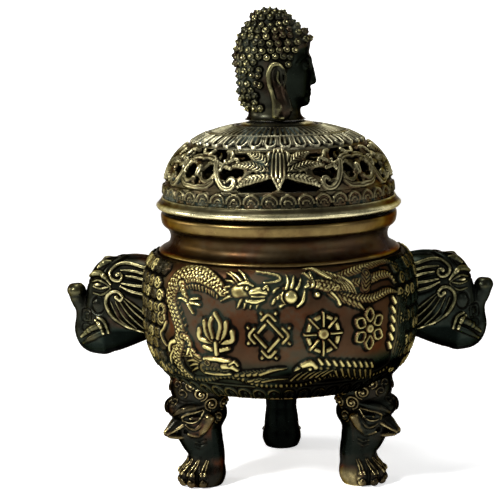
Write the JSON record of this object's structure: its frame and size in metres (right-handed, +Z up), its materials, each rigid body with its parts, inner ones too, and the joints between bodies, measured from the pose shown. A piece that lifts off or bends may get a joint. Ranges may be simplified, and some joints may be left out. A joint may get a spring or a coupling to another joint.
{
  "type": "tripod incense burner",
  "caption": "Round bronze tripod censer with elephant-head handles, beast-mask legs, raised dragon and phoenix work, and a pierced dome lid with a head knob.",
  "frame": {"origin": "on the ground, under the middle of the bowl", "axes": "+Z up through the head knob, +X out through the right-hand handle, -Y out through the middle of the front relief"},
  "size_m": [0.1488, 0.0984, 0.1632],
  "materials": {
    "bowl_bronze": "red-brown patina, rubbed to olive gold on the rim, neck and raised work, satin",
    "lid_bronze": "olive brown patina with dark recesses and bright worn ridges, satin",
    "handle_bronze": "dark green-brown patina with worn gold edges, satin",
    "leg_bronze": "near-black patina with worn gold high spots, satin",
    "head_bronze": "dark patina with rubbed gold curl tips, satin",
    "fixing_brass": "plain dull brass"
  },
  "bodies": {
    "vessel": {"bowl": "bowl_bronze", "handle_right": "handle_bronze", "handle_left": "handle_bronze", "handle_right_rivet_upper": "fixing_brass", "handle_right_rivet_lower": "fixing_brass", "handle_left_rivet_upper": "fixing_brass", "handle_left_rivet_lower": "fixing_brass", "leg_rear": "leg_bronze", "leg_front_left": "leg_bronze", "leg_front_right": "leg_bronze", "leg_rear_screw": "fixing_brass", "leg_front_left_screw": "fixing_brass", "leg_front_right_screw": "fixing_brass"},
    "cover": {"lid": "lid_bronze", "head_finial": "head_bronze", "finial_stud": "fixing_brass", "finial_washer": "fixing_brass", "finial_nut": "fixing_brass"}
  },
  "joints": [
    {"name": "lid_lift", "type": "slide", "parent": "vessel", "child": "cover", "axis": [0, 0, 1], "range_m": [0, 0.08]}
  ]
}
